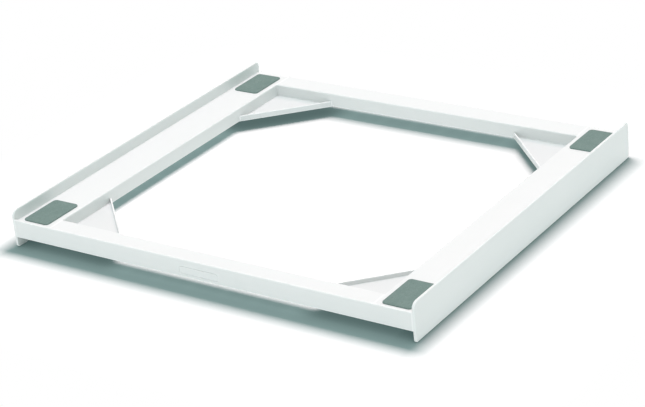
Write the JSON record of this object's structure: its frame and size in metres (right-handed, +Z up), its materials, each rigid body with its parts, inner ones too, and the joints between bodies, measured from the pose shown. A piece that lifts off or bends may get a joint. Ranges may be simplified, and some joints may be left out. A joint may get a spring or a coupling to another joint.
{
  "type": "stacking frame",
  "caption": "Low open stacking frame that seats an upper appliance on a lower one between two upright side guards, with rails, crossbars, corner plates and anti-slip pads.",
  "frame": {"origin": "On the floor under the middle of the frame, which stands on its guards' lower edges", "axes": "+X to the right seen from the front, +Y to the back, +Z up"},
  "size_m": [0.606, 0.55, 0.0515],
  "materials": {
    "white_moulding": "white moulded plastic, fine satin grain",
    "grey_rubber": "grey anti-slip foam rubber, matt",
    "zinc_plated_steel": "zinc-plated, semi-gloss"
  },
  "bodies": {
    "root": {"left_side_member": "white_moulding", "right_side_member": "white_moulding", "front_crossbar": "white_moulding", "rear_crossbar": "white_moulding", "front_left_corner_plate": "white_moulding", "front_right_corner_plate": "white_moulding", "rear_left_corner_plate": "white_moulding", "rear_right_corner_plate": "white_moulding", "front_left_upper_pad": "grey_rubber", "front_right_upper_pad": "grey_rubber", "rear_left_upper_pad": "grey_rubber", "rear_right_upper_pad": "grey_rubber", "front_left_lower_pad": "grey_rubber", "front_right_lower_pad": "grey_rubber", "rear_left_lower_pad": "grey_rubber", "rear_right_lower_pad": "grey_rubber", "front_left_screw_1": "zinc_plated_steel", "front_left_screw_2": "zinc_plated_steel", "front_left_screw_3": "zinc_plated_steel", "front_left_screw_4": "zinc_plated_steel", "front_right_screw_1": "zinc_plated_steel", "front_right_screw_2": "zinc_plated_steel", "front_right_screw_3": "zinc_plated_steel", "front_right_screw_4": "zinc_plated_steel", "rear_left_screw_1": "zinc_plated_steel", "rear_left_screw_2": "zinc_plated_steel", "rear_left_screw_3": "zinc_plated_steel", "rear_left_screw_4": "zinc_plated_steel", "rear_right_screw_1": "zinc_plated_steel", "rear_right_screw_2": "zinc_plated_steel", "rear_right_screw_3": "zinc_plated_steel", "rear_right_screw_4": "zinc_plated_steel"}
  },
  "joints": []
}
